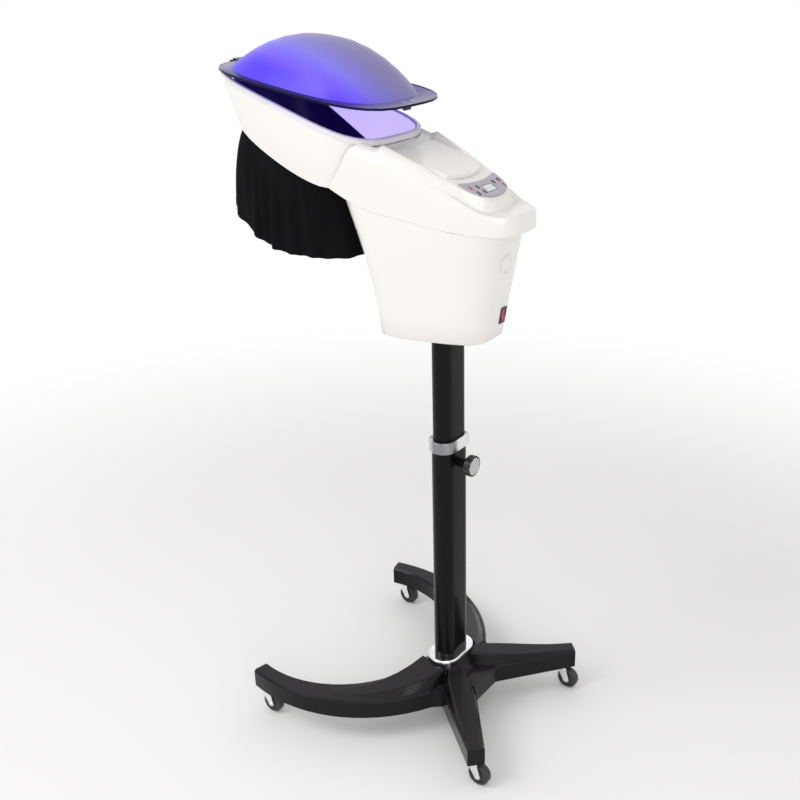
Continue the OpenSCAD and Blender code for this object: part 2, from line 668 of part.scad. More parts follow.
// Hood: a ring-shaped shell between the lower edge and the rim
hood_low_half_back = arm_half + hood_over;
low_egg = [hood_rake - rim_front, -hood_foot_y, hood_low_half, hood_low_half_back, 6, 0];
nape_egg = [low_egg[0], -nape_y, low_egg[2] - 1.5, low_egg[3] - 5, 4.5, 0];
low_run = rim_front - hood_rake - nape_y;
function low_z(y) = body_z + hood_low_z + hood_low_climb * pow(max(0, (-nape_y - y) / low_run), 1.6)
  + 0.6 * max(0, y + nape_y);
function hood_point(foot, t, d, a) = let (
    p = egg_point(inset(foot, d), a),
    q = egg_point(inset(rim_egg, d), a),
    bow = 1 + 0.18 * t * (1 - t))
  [mix(p.x, q.x, t) * bow, mix(p.y, q.y, t), mix(low_z(p.y), rim_plane(q.y) - seat, t)];
function hood_ring(foot, t, d) = [for (i = [0:55]) hood_point(foot, t, d, 360 * i / 56)];
hood_levels = [0, 0.2, 0.4, 0.6, 0.8, 1];
module hood_wall(foot, d, wall) {
  n = len(hood_levels) - 1;
  skin(concat([for (t = hood_levels) hood_ring(foot, t, d)],
      [for (i = [n:-1:0]) hood_ring(foot, hood_levels[i], d + wall)]), closed = true);
}
steam_z = body_z + 322;
duct_d = 22;
module steam_hole() {
  translate([0, -hood_foot_y - 60, steam_z]) rotate([-90, 0, 0]) cylinder(d = duct_d + 0.6, h = 100);
}
module hood_shell() {
  at_column() color(white_gloss) difference() {
    hood_wall(low_egg, 0, shell_t);
    steam_hole();
  }
}
liner_in = shell_t + liner_gap;
module hood_liner() {
  at_column() color(violet) difference() {
    hood_wall(nape_egg, liner_in, liner_t);
    steam_hole();
  }
}

// Trim that caps the rim: a lip over the shell and the liner, with a skirt outside
trim_top = 3.2;
trim_skirt = 7;
module rim_trim() {
  edge = liner_in + liner_t + 2;
  profile = [[-1.4, -trim_skirt], [-trim_out, -trim_skirt], [-trim_out, trim_top - 1.5], [-1, trim_top],
    [edge - 2, trim_top], [edge, trim_top - 1.5], [edge, 0], [-0.4, 0]];
  at_column() color(grey)
    skin([for (q = profile) lift(egg(inset(rim_egg, q.x), 56), function (y) rim_plane(y) + q.y)],
      closed = true);
}
module light_strip() {
  d = liner_in + liner_t + 2 * seat;
  corners = [[0.84, d], [0.84, d + 4], [0.9, d + 4], [0.9, d]];
  at_column() color(violet)
    skin([for (i = [16:40]) [for (q = corners) hood_point(nape_egg, q[0], q[1], 360 * i / 56)]]);
}

// Curtain: cloth that hangs from the hood's lower edge in vertical folds
hem_egg = [-rim_front + 20, -nape_y + 36, hood_low_half + 8, hood_low_half_back - 5, 3.4, 0];
cloth_points = 100;
function curtain_point(t, d, i) = let (
    a = 360 * i / cloth_points,
    p = egg_point(inset(nape_egg, shell_t + 1 + d), a),
    q = egg_point(inset(hem_egg, d), a),
    front = (1 - cos(a)) / 2,
    wave = fold_d * pow(t, 0.7) * (0.75 + 0.25 * cos(3 * a)) * cos(folds * a + 20 * sin(2 * a)),
    side = [sin(a), cos(a)])
  [mix(p.x, q.x, t) + wave * side.x, mix(p.y, q.y, t) + wave * side.y,
    low_z(p.y) - seat - t * mix(curtain_back, curtain_front, front) - 2 * t * cos(2 * folds * a)];
module curtain() {
  drops = [0, 0.12, 0.3, 0.52, 0.76, 1];
  n = len(drops) - 1;
  row = function (t, d) [for (i = [0:cloth_points - 1]) curtain_point(t, d, i)];
  at_column() color(black_cloth) skin(concat([for (k = [n:-1:0]) row(drops[k], 0)],
      [for (t = drops) row(t, cloth_t)]), closed = true);
}

// Lid: it is drawn on its own plane, which passes through the hinge's axis
lid_start = -rim_front - hinge_y;
hinge_z = rim_plane(-rim_front) + trim_top + 2.2 + lid_start * tan(rim_fall - lid_open);
module on_lid() {
  translate([0, hinge_y, hinge_z]) rotate([lid_open - rim_fall, 0, 0]) children();
}
flange_egg = [lid_start, lid_start + lid_l, lid_half, lid_half_back, 3.4, 0];
dome_egg = [lid_start + lid_margin, lid_start + lid_l - lid_margin_back, lid_half - lid_margin,
  lid_half_back - lid_margin, 2.9, 0];
dome_mid = lid_start + lid_l / 2 + 10;
function dome_ring(s, d) = let (
    e = inset(dome_egg, d),
    ring = [mix(dome_mid, e[0], s), mix(dome_mid, e[1], s), e[2] * s, e[3] * s, mix(2.1, e[4], s), 0])
  flat(egg(ring, 56), lid_t + (dome_h - d) * pow(1 - pow(s, 2.2), 0.95));
module lid_dome() {
  spread = [0.1, 0.3, 0.48, 0.64, 0.78, 0.89, 0.96, 1];
  n = len(spread) - 1;
  at_column() color(violet) on_lid() skin(concat([for (s = spread) dome_ring(s, dome_t)],
      [for (k = [n:-1:0]) dome_ring(spread[k], 0)]));
}
module lid_flange() {
  lip = 1.5;
  hole = flat(egg(inset(dome_egg, dome_t), 56), 0);
  rise = function (points, z) [for (p = points) p + [0, 0, z]];
  edge = function (d, z) flat(egg(inset(flange_egg, d), 56), z);
  at_column() color(smoke) on_lid() skin([edge(0, 0), edge(0, lid_t + lip - 0.5), edge(2, lid_t + lip),
      edge(4, lid_t), rise(hole, lid_t), hole], closed = true);
}

// Catch under the raised end of the lid, with its two screws
catch_y = lid_start + lid_l - lid_margin_back / 2;
catch_size = [34, 16, 3];
module lid_catch() {
  at_column() color(black_gloss) on_lid() {
    translate([-catch_size.x / 2, catch_y - catch_size.y / 2, -catch_size.z]) cube(catch_size);
    translate([-10, catch_y - 2, -9]) cube([20, 4, 7]);
    translate([-10, catch_y - 5, -11]) cube([20, 7, 2.5]);
  }
}
module lid_screws() {
  at_column() color(steel) on_lid()
    for (s = [-1, 1]) translate([s * 11, catch_y, lid_t]) cylinder(d = 7, h = 2);
}

// Hinge at the front tip: a leaf on the lid, and a bracket with the pin on the hood
leaf_w = 27;
leaf_t = 2.5;
module hinge_leaf() {
  at_column() color(black_gloss) on_lid() difference() {
    union() {
      rotate([0, 90, 0]) cylinder(d = hinge_d, h = leaf_w, center = true);
      translate([-leaf_w / 2, 0, 1]) cube([leaf_w, lid_start - seat, lid_t + leaf_t + 0.5]);
      translate([-leaf_w / 2, 0, lid_t + 1.5]) cube([leaf_w, lid_start + lid_margin - 4, leaf_t]);
    }
    rotate([0, 90, 0]) cylinder(d = pin_d + 2 * fit, h = leaf_w + 2, center = true);
  }
}
module hinge_bracket() {
  ear = 5;
  foot_z = hinge_z - 36;
  at_column() color(black_gloss) {
    for (s = [-1, 1]) translate([s * (leaf_w / 2 + run + ear / 2), hinge_y, hinge_z]) {
      rotate([0, 90, 0]) cylinder(d = hinge_d, h = ear, center = true);
      translate([-ear / 2, -hinge_d / 2, foot_z - hinge_z]) cube([ear, 6.5, hinge_z - foot_z]);
    }
    translate([-leaf_w / 2 - run - ear, hinge_y - hinge_d / 2, foot_z])
      cube([leaf_w + 2 * (run + ear), 27, 9]);
    translate([0, hinge_y, hinge_z]) rotate([0, 90, 0])
      cylinder(d = pin_d, h = leaf_w + 2 * run, center = true);
  }
}

// Tank cover: a plate on the deck, hinged at its front edge
cover_front = -80;
cover_back = 55;
cover_half_front = 78;
cover_half_back = 56;
cover_arc = 116;
module on_deck() { translate([0, 0, deck_z(0)]) rotate([-deck_fall, 0, 0]) children(); }
module cover_plan(d) {
  k = 1 / cos(deck_fall);
  intersection() {
    polygon([[d - cover_half_front, cover_front * k + d], [cover_half_front - d, cover_front * k + d],
        [cover_half_back - d, cover_back * k], [d - cover_half_back, cover_back * k]]);
    translate([0, (cover_back - cover_arc) * k]) circle(r = cover_arc * k - d);
  }
}
module tank_cover() {
  at_column() color(white_gloss) on_deck() translate([0, 0, run]) difference() {
    union() {
      linear_extrude(cover_t - 1.5) cover_plan(0);
      linear_extrude(cover_t) cover_plan(1.5);
    }
    translate([0, cover_back / cos(deck_fall) + 8, cover_t - 2]) cylinder(r = 15, h = 5);
    translate([-bay_w / 2, bay_front / cos(deck_fall), -1]) cube([bay_w, bay_l, cover_t - 2]);
  }
}

// Control panel on the console, with its display, keys and lamps
face_h = 2.4;
face_half = 60;
face_dip = 10;
face_l = 54 / cos(panel_fall);
display_y = 35;
black_keys = [[27, 24], [25, 41], [44, 40], [-27, 24], [-46, 23]];
lamps = [[47, 22], [-43, 41]];
module on_panel() {
  translate([0, panel_y, panel_z(panel_y) + seat]) rotate([-panel_fall, 0, 0]) children();
}
module key_plan(d) { square([key_w + d, key_l + d], center = true); }
module control_panel() {
  arc = (face_half * face_half + face_dip * face_dip) / (2 * face_dip);
  at_column() color(grey) on_panel() linear_extrude(face_h) difference() {
    polygon([for (p = egg([-face_l, face_l, face_half, face_half, 2.5, 0], 96)) [p.x, max(0, p.y)]]);
    translate([0, face_dip - arc]) circle(r = arc);
    translate([0, display_y]) square([display_w, display_l], center = true);
    for (q = black_keys) translate(q) key_plan(0.5);
    for (q = lamps) translate(q) key_plan(0);
  }
}
module display_window() {
  at_column() color("white") on_panel() translate([-display_w / 2, display_y - display_l / 2, 0])
    cube([display_w, display_l, face_h - 0.5]);
}
module key(i) {
  at_column() color(black_gloss) on_panel()
    translate([black_keys[i].x, black_keys[i].y, key_travel + 0.1]) linear_extrude(face_h) key_plan(0);
}
module indicator_lamps() {
  at_column() color("crimson") on_panel()
    for (q = lamps) translate(q) linear_extrude(face_h + 0.6) key_plan(0);
}
module circuit_board() {
  under = -shell_t - 2 * seat;
  at_column() color("darkgreen") on_panel() {
    translate([-38, 12, under - 8]) cube([76, 38, 1.6]);
    for (x = [-33, 33], y = [17, 45]) translate([x, y, under - 8]) cylinder(d = 6, h = 8);
    translate([-18, 22, under - 6.5]) cube([36, 18, 4]);
    translate([-34, 26, under - 16]) cube([12, 12, 8.5]);
  }
}

// Rear face: the drain cap in its ring, and the mains switch in its frame
cap_deep = 4;
module cap_ring() {
  at_column() color(white_gloss) at_rear(0, cap_z) difference() {
    union() {
      translate([0, 0, seat]) cylinder(d = cap_ring_d, h = 2.7);
      translate([0, 0, -cap_deep - 2]) cylinder(d = cap_ring_d - 6 - 2 * fit, h = cap_deep + 4);
    }
    translate([0, 0, -cap_deep]) cylinder(d = cap_d + 2 * run, h = 20);
  }
}
module drain_cap() {
  at_column() color(white_gloss) at_rear(0, cap_z) {
    translate([0, 0, run - cap_deep]) cylinder(d = cap_d, h = cap_deep + 2);
    translate([-3, -cap_d / 2 + 3, 2]) cube([6, cap_d - 6, 3]);
  }
}
rocker_tilt = 8;
rocker = [12, 23];
module on_rocker() {
  at_rear(inlet_x, inlet_z) translate([0, 0, -1]) rotate([rocker_tilt, 0, 0]) children();
}
module switch_frame() {
  w = switch_size.x - 2 * fit;
  l = switch_size.y - 2 * fit;
  at_column() color(black_gloss) at_rear(inlet_x, inlet_z) difference() {
    union() {
      translate([-w / 2, -l / 2, -11]) cube([w, l, 12.5]);
      translate([-w / 2 - 1.5, -l / 2 - 1.5, seat]) cube([w + 3, l + 3, 2]);
    }
    translate([-rocker.x / 2 - run, -rocker.y / 2 - 1.2, -8])
      cube([rocker.x + 2 * run, rocker.y + 2.4, 12]);
  }
}
module rocker_switch() {
  h = rocker.y / 2;
  at_column() color("firebrick") on_rocker() translate([-rocker.x / 2, 0, 0]) rotate([90, 0, 90])
    linear_extrude(rocker.x) polygon([[-h, 0.5], [-6, -5], [6, -5], [h, 0.5], [h, 4], [0, 2], [-h, 4]]);
}
module power_inlet() {
  w = inlet_size.x;
  l = inlet_size.y;
  at_column() color(black_gloss) translate([0, inlet_y, body_z]) {
    difference() {
      union() {
        translate([-w / 2 + fit, -l / 2 + fit, -1]) cube([w - 2 * fit, l - 2 * fit, 25]);
        translate([-w / 2 - 5, -l / 2 - 3, -2.5]) cube([w + 10, l + 6, 2.5]);
      }
      translate([-w / 2 + 2, -l / 2 + 2, -3]) cube([w - 4, l - 4, 20]);
    }
    for (x = [-7, 0, 7]) translate([x - 1, -2, 3]) cube([2, 4, 15]);
  }
}

// Inside the head: a frame on the upper tube carries the tank, the boiler and the hood
boiler_y = -30;
boiler_d = 76;
boiler_h = 70;
shelf_t = 3;
boiler_z = mast_top + 1 + shelf_t + seat + 13;
tank_h = 105;
tank_z = deck_z(bay_front + bay_l) - shell_t - 6 - tank_h;
frame_x = max(mast_w + 20, bay_w + 4) / 2;
function hood_back(t) = let (y0 = egg_back(low_egg, frame_x), y1 = egg_back(rim_egg, frame_x))
  [mix(y0, y1, t) + 0.5, mix(low_z(y0), rim_plane(y1) - seat, t)];
module head_frame() {
  foot = body_z + shell_t + 5 + seat;
  low = hood_back(0.08);
  high = hood_back(0.42);
  at_column() color(steel) {
    for (x = [-frame_x, frame_x]) translate([x - 2, 0, 0]) rotate([90, 0, 90]) linear_extrude(4)
      polygon([[-44, foot], [14, foot], [14, tank_z + 70], [-50, high.y], [high.x, high.y], [low.x, low.y],
          [-44, low.y]]);
    translate([-frame_x, boiler_y - 32, mast_top + 1]) cube([2 * frame_x, 64, shelf_t]);
    difference() {
      translate([-frame_x, bay_front, tank_z - seat - shelf_t]) cube([2 * frame_x, bay_l - 4, shelf_t]);
      translate([0, boiler_y, tank_z - 8]) cylinder(d = 16, h = 10);
    }
  }
}
module water_tank() {
  w = bay_w - 6;
  l = bay_l - 4;
  wall = 2.5;
  bottom = boiler_z + boiler_h + 4;
  at_column() color(grey) difference() {
    union() {
      translate([-w / 2, bay_front + 2, tank_z]) cube([w, l, tank_h]);
      translate([0, boiler_y, bottom]) cylinder(d = 12, h = tank_z - bottom + 1);
    }
    translate([wall - w / 2, bay_front + 2 + wall, tank_z + wall])
      cube([w - 2 * wall, l - 2 * wall, tank_h]);
    translate([0, boiler_y, bottom - 1]) cylinder(d = 8 + 2 * fit, h = tank_z - bottom + wall + 2);
  }
}
duct_y = boiler_y - boiler_d / 2 - duct_d / 2 - 1;
outlet_z = boiler_z + boiler_h - 18;
duct_bend = duct_d / 2 + 12;
module boiler() {
  r = boiler_d / 2;
  at_column() color(steel) {
    translate([0, boiler_y, boiler_z]) {
      rotate_extrude() polygon([[0, -13], [26, -13], [26, 0], [r, 0], [r, boiler_h - 8], [r - 8, boiler_h],
          [0, boiler_h]]);
      cylinder(d = 8, h = boiler_h + 16);
    }
    translate([0, boiler_y, outlet_z]) rotate([90, 0, 0]) cylinder(d = 14, h = boiler_y - duct_y);
    translate([0, duct_y, outlet_z - 7]) cylinder(d = duct_d - 4 - 2 * fit, h = 26);
  }
}
module duct_pipe(l) {
  difference() {
    cylinder(d = duct_d, h = l);
    translate([0, 0, -1]) cylinder(d = duct_d - 4, h = l + 2);
  }
}
nozzle_y = -nape_y + 7;
module steam_duct() {
  foot = outlet_z + 8;
  at_column() color(grey) {
    translate([0, duct_y, foot]) duct_pipe(steam_z - duct_bend - foot);
    translate([0, duct_y - duct_bend, steam_z - duct_bend]) rotate([90, 0, 90]) rotate_extrude(angle = 90)
      translate([duct_bend, 0]) difference() {
        circle(d = duct_d);
        circle(d = duct_d - 4);
      }
    translate([0, duct_y - duct_bend, steam_z]) rotate([90, 0, 0]) duct_pipe(duct_y - duct_bend - nozzle_y);
  }
}
module steam_nozzle() {
  at_column() color(white_gloss) translate([0, nozzle_y + 8, steam_z]) rotate([90, 0, 0]) difference() {
    cylinder(d = duct_d + 6, h = 11);
    translate([0, 0, -1]) cylinder(d = duct_d + 2 * fit, h = 9.2);
    for (x = [-6, 0, 6]) translate([x - 1.5, -8, 5]) cube([3, 16, 8]);
  }
}

module front_leg_left() { front_leg(1); }
module front_leg_right() { front_leg(-1); }
module rear_leg_left() { rear_leg(1); }
module rear_leg_right() { rear_leg(-1); }
module caster_fork_fr() { caster_fork(0); }
module caster_fork_rr() { caster_fork(1); }
module caster_fork_fl() { caster_fork(2); }
module caster_fork_rl() { caster_fork(3); }
module caster_wheel_fr() { caster_wheel(0); }
module caster_wheel_rr() { caster_wheel(1); }
module caster_wheel_fl() { caster_wheel(2); }
module caster_wheel_rl() { caster_wheel(3); }
module key_1() { key(0); }
module key_2() { key(1); }
module key_3() { key(2); }
module key_4() { key(3); }
module key_5() { key(4); }

base_hub();
front_leg_left();
front_leg_right();
rear_leg_left();
rear_leg_right();
joint_plates();
leg_bolts();
base_ring();
lower_tube();
tube_bush();
clamp_collar();
caster_sockets();
caster_fork_fl();
caster_fork_fr();
caster_fork_rl();
caster_fork_rr();
caster_wheel_fl();
caster_wheel_fr();
caster_wheel_rl();
caster_wheel_rr();
clamp_knob();
knob_disc();
clamp_screw();
upper_tube();
mast_flange();
lower_housing();
upper_casing();
housing_floor();
floor_screws();
head_frame();
water_tank();
boiler();
steam_duct();
steam_nozzle();
circuit_board();
hood_shell();
hood_liner();
rim_trim();
light_strip();
curtain();
hinge_bracket();
control_panel();
display_window();
indicator_lamps();
cap_ring();
switch_frame();
power_inlet();
lid_dome();
lid_flange();
lid_catch();
lid_screws();
hinge_leaf();
tank_cover();
drain_cap();
rocker_switch();
key_1();
key_2();
key_3();
key_4();
key_5();
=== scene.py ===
import math
import random
import bpy
import bmesh
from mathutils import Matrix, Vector


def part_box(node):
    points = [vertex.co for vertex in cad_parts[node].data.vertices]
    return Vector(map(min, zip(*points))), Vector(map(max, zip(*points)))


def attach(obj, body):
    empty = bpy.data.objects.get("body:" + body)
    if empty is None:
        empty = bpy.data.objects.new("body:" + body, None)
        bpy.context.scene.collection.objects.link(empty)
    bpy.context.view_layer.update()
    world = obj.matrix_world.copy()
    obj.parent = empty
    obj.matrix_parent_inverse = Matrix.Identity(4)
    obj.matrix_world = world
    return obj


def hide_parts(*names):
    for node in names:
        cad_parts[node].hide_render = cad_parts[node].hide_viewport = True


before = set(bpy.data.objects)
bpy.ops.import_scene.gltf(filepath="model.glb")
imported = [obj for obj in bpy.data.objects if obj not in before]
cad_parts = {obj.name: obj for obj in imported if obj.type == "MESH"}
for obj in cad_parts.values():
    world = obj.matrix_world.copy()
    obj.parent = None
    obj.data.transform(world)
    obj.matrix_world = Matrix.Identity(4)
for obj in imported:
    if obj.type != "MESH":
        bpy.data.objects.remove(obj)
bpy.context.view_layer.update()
tube_low, tube_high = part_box("upper_tube")
column = (tube_low.y + tube_high.y) / 2


# Camera: a long lens on the stand's left rear quarter, a little above its head and looking
# down, as the photograph was taken. The frame is shifted sideways only.
camera = bpy.data.objects.new("camera", bpy.data.cameras.new("camera"))
bpy.context.scene.collection.objects.link(camera)
looking_down, turned_left = 24.11, 123.77
camera.location = (1.7044, 1.1930 + column, 1.7116)
camera.rotation_euler = (math.radians(90 - looking_down), 0, math.radians(turned_left))
camera.data.sensor_width = 36
camera.data.lens = 48.735
camera.data.shift_x = -0.087
camera.data.clip_start = 0.05
bpy.context.scene.camera = camera


# Materials and meshes: every finish is a Principled shader, whose sockets take plain values or
# wires. Every piece is a smooth copy of a CAD node, or a skin lofted over a grid of points.
class Wire:
    """One socket of a material. Arithmetic on wires adds the Math nodes that work it out."""

    def __init__(self, tree, socket=None):
        self.tree = tree
        self.socket = socket

    def node(self, kind, settings=None, sockets=None, out=0):
        """The output named or numbered out of a new node, which is set first and then fed."""
        made = self.tree.nodes.new(kind)
        for name, value in (settings or {}).items():
            if name == "stops":
                ramp = made.color_ramp
                while len(ramp.elements) < len(value):
                    ramp.elements.new(0.5)
                for element, (place, colour) in zip(ramp.elements, value):
                    element.position = place
                    element.color = (*colour, 1)
            else:
                setattr(made, name, value)
        for name, value in (sockets or {}).items():
            if isinstance(value, Wire):
                self.tree.links.new(value.socket, made.inputs[name])
            else:
                made.inputs[name].default_value = value
        return Wire(self.tree, made.outputs[out])

    def math(self, operation, *terms):
        """A Math node over the terms. The wire itself is a term only if it is among them."""
        return self.node("ShaderNodeMath", {"operation": operation}, dict(enumerate(terms)))

    def mix(self, share, first, second):
        """The first colour where share is 0, and the second one where it is 1."""
        colours = [c if isinstance(c, Wire) else (*c, 1) for c in (first, second)]
        share_socket, first_socket, second_socket, colour_out = 0, 6, 7, 2
        return self.node("ShaderNodeMix", {"data_type": "RGBA"},
                         {share_socket: share, first_socket: colours[0],
                          second_socket: colours[1]}, out=colour_out)

    def __add__(self, other):
        return self.math("ADD", self, other)

    def __sub__(self, other):
        return self.math("SUBTRACT", self, other)

    def __mul__(self, other):
        return self.math("MULTIPLY", self, other)

    def __truediv__(self, other):
        return self.math("DIVIDE", self, other)

    def __rsub__(self, other):
        return self.math("SUBTRACT", other, self)

    __radd__ = __add__


class Finish:
    """A Principled material. Its patterns are in metres, in the object's own coordinates."""

    def __init__(self, name, **fixed):
        self.material = bpy.data.materials.new(name)
        self.material.use_nodes = True
        tree = self.material.node_tree
        self.shader = tree.nodes["Principled BSDF"]
        self.wire = Wire(tree)
        self.place = self.wire.node("ShaderNodeTexCoord", out="Object")
        self.put(**fixed)

    def put(self, **sockets):
        """Feeds sockets of the shader, named with _ for each space."""
        for name, value in sockets.items():
            socket = self.shader.inputs[name.replace("_", " ").title().replace("Ior", "IOR")]
            if isinstance(value, Wire):
                self.wire.tree.links.new(value.socket, socket)
            elif socket.type == "RGBA":
                socket.default_value = (*value, 1)
            else:
                socket.default_value = value
        return self

    def noise(self, scale, detail=2, stretch=(1, 1, 1)):
        """Noise from 0 to 1, that is finer along the axes whose stretch is larger."""
        spot = self.wire.node("ShaderNodeMapping", {}, {"Vector": self.place, "Scale": stretch})
        return self.wire.node("ShaderNodeTexNoise", {},
                              {"Vector": spot, "Scale": scale, "Detail": detail})

    def blend(self, share, first, second):
        return self.wire.mix(share, first, second)

    def step(self, value, low, high):
        """Climbs smoothly from 0 where value is low to 1 where it is high."""
        return self.wire.node("ShaderNodeMapRange", {"interpolation_type": "SMOOTHSTEP"},
                              {"Value": value, "From Min": low, "From Max": high})

    def bump(self, height, depth):
        normal = self.wire.node("ShaderNodeBump", {}, {"Height": height, "Distance": depth})
        return self.put(Normal=normal)

    def axes(self):
        """The coordinates x, y and z."""
        return [self.wire.node("ShaderNodeSeparateXYZ", {}, {"Vector": self.place}, out=axis)
                for axis in "XYZ"]

    def upward(self):
        """1 on a face that looks up, 0 on an upright one and -1 on an underside."""
        normal = self.wire.node("ShaderNodeTexCoord", out="Normal")
        return self.wire.node("ShaderNodeSeparateXYZ", {}, {"Vector": normal}, out="Z")

    def ramp(self, share, *stops):
        """A colour from stops of (share, colour)."""
        return self.wire.node("ShaderNodeValToRGB", {"stops": stops}, {"Fac": share})


def ease(piece, width, segments, sharp):
    """Rounds the edges of a piece that turn by more than sharp degrees."""
    eased = piece.modifiers.new("eased", "BEVEL")
    eased.width = width
    eased.segments = segments
    eased.limit_method = "ANGLE"
    eased.angle_limit = math.radians(sharp)
    eased.harden_normals = True


def own(piece, slot, finish, body, *nodes):
    """Gives a piece its finish, the body that it moves with and what it replaces. The slot is not
    used.
    """
    piece.data.materials.clear()
    piece.data.materials.append(finish.material)
    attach(piece, body)
    if nodes:
        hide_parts(*nodes)
    return piece


def dressed(node, slot, finish, body, sharp=34, edge=0.0, levels=0, steps=3):
    """A welded, smooth copy of a CAD piece, with its hard edges eased, that stands for it."""
    same_point = 1e-5
    flat, nearly_flat, nearly_square = math.radians(0.3), math.radians(30), math.radians(60)
    piece = bpy.data.objects.new(node + "_finished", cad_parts[node].data.copy())
    bpy.context.scene.collection.objects.link(piece)
    shape = bmesh.new()
    shape.from_mesh(piece.data)
    bmesh.ops.remove_doubles(shape, verts=shape.verts, dist=same_point)
    bmesh.ops.dissolve_limit(shape, angle_limit=flat, verts=shape.verts, edges=shape.edges)
    if levels:
        bmesh.ops.join_triangles(shape, faces=shape.faces, angle_face_threshold=nearly_flat,
                                 angle_shape_threshold=nearly_square)
    crease = shape.edges.layers.float.new("crease_edge")
    for face in shape.faces:
        face.smooth = True
    for line in shape.edges:
        hard = len(line.link_faces) != 2 or line.calc_face_angle(0) > math.radians(sharp)
        line.smooth = not hard
        line[crease] = 1.0 if hard else 0.0
    shape.to_mesh(piece.data)
    shape.free()
    if levels:
        rounder = piece.modifiers.new("rounder", "SUBSURF")
        rounder.levels = levels
        rounder.render_levels = levels
    if edge:
        ease(piece, edge, steps, sharp)
    return own(piece, slot, finish, body, node)


def loft(name, across, along, place, shut=False):
    """A skin over across by along cells, whose corner i, j is at place(i, j).

    A shut one closes on itself round i, and both its ends are filled.
    """
    piece = bpy.data.objects.new(name, bpy.data.meshes.new(name))
    bpy.context.scene.collection.objects.link(piece)
    shape = bmesh.new()
    bmesh.ops.create_grid(shape, x_segments=across, y_segments=along, size=0.5)
    for point in shape.verts:
        i = round((point.co.x + 0.5) * across)
        j = round((point.co.y + 0.5) * along)
        point.co = place(i, j)
    if shut:
        bmesh.ops.remove_doubles(shape, verts=shape.verts, dist=1e-6)
        bmesh.ops.holes_fill(shape, edges=shape.edges, sides=0)
        bmesh.ops.recalc_face_normals(shape, faces=shape.faces)
    for face in shape.faces:
        face.smooth = True
    shape.to_mesh(piece.data)
    shape.free()
    return piece


# Base: the hub and its four legs are castings in gloss black stove enamel, bolted together
# from below. The enamel has a faint orange peel, and its tops are painted a little paler, as
# painted light from above.
def black_coat(name, side, top, gloss, grain, depth):
    """A gloss black coat with a faint orange peel, painted a little paler on faces that look up,
    as painted light from above.
    """
    made = Finish(name, Specular_IOR_Level=gloss, Coat_Weight=0.1, Coat_Roughness=0.05)
    peel = made.noise(grain, detail=3)
    cloudy = made.noise(14, detail=4)
    # Painted light from above: faces that look up are made paler, in cloudy patches.
    lit_from_above = made.step(made.upward(), 0.45, 0.9) * (0.75 + cloudy * 0.5)
    made.put(Base_Color=made.blend(lit_from_above, side, top))
    made.put(Roughness=0.2 + (cloudy - 0.5) * 0.1)
    return made.bump(peel, depth)


enamel = black_coat("black_stove_enamel", side=(0.005, 0.005, 0.0055), top=(0.017, 0.0145, 0.018),
                    gloss=0.14, grain=420, depth=0.0001)
dressed("base_hub", "black_cast", enamel, "stand", sharp=28, edge=0.0012)
for leg in ("front_leg_left", "front_leg_right", "rear_leg_left", "rear_leg_right"):
    dressed(leg, "black_cast", enamel, "stand", sharp=20, edge=0.0014)


# Ridges on the castings: each leg's top climbs to the boss as a broad tapered ridge, and the
# flanks between the ridges fall away into the dark wells of the hub.
leg_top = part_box("rear_leg_left")[1].z


def compass(angle):
    """The level direction at an angle in degrees from the rear, towards the left if above 0."""
    return Vector((math.sin(math.radians(angle)), math.cos(math.radians(angle)), 0))


def ridge(name, spine):
    """A ridge over stations of (place, sideways, top half width, foot half width, height)."""
    sunk, foot_line, round_off = 0.006, 0.0005, 0.0025
    corners = 8

    def place(i, j):
        at, sideways, top, foot, height = spine[j]
        near = [(-foot, leg_top - sunk), (-foot, leg_top - foot_line),
                (-top, height - round_off), (round_off - top, height)]
        outline = near + [(-half, z) for half, z in reversed(near)]
        half, z = outline[i % corners]
        return at + sideways * half + Vector((0, 0, z))

    piece = loft(name, corners, len(spine) - 1, place, shut=True)
    ease(piece, width=0.0012, segments=2, sharp=20)
    return own(piece, "black_cast", enamel, "stand")


# Stations of a rear ridge: distance from the column, half widths of its top and foot, and rise.
rear_stations = ((0.036, 0.012, 0.020, 0.031), (0.062, 0.018, 0.027, 0.029),
                 (0.100, 0.024, 0.034, 0.0235), (0.150, 0.0235, 0.0305, 0.0155),
                 (0.200, 0.0205, 0.0255, 0.0085), (0.250, 0.0165, 0.0205, 0.0035),
                 (0.296, 0.0125, 0.0155, 0.0006))
# Stations of a front ridge: angle along the crescent, the crescent's width there, and rise.
front_stations = ((11, 0.108, 0.031), (19, 0.1029, 0.0245), (27, 0.0935, 0.0175),
                  (36, 0.083, 0.0105), (46, 0.073, 0.0055), (60, 0.060, 0.0008))
crescent_middle = Vector((0, column - 0.300, 0))
inner_radius, inner_growth, crescent_sweep = 0.240, 0.009, 103
top_margin, foot_margin = 0.018, 0.0065
for side, hand in ((-1, "right"), (1, "left")):
    out = compass(45 * side)
    sideways = Vector((out.y, -out.x, 0))
    ridge("rear_ridge_" + hand, [
        (Vector((0, column, 0)) + out * run, sideways, top, foot, leg_top + rise)
        for run, top, foot, rise in rear_stations])
    stations = []
    for angle, wide, rise in front_stations:
        out = compass(angle * side)
        middle = inner_radius + inner_growth * angle / crescent_sweep + wide / 2
        stations.append((crescent_middle + out * middle, out * side,
                         wide / 2 - top_margin, wide / 2 - foot_margin, leg_top + rise))
    ridge("front_ridge_" + hand, stations)


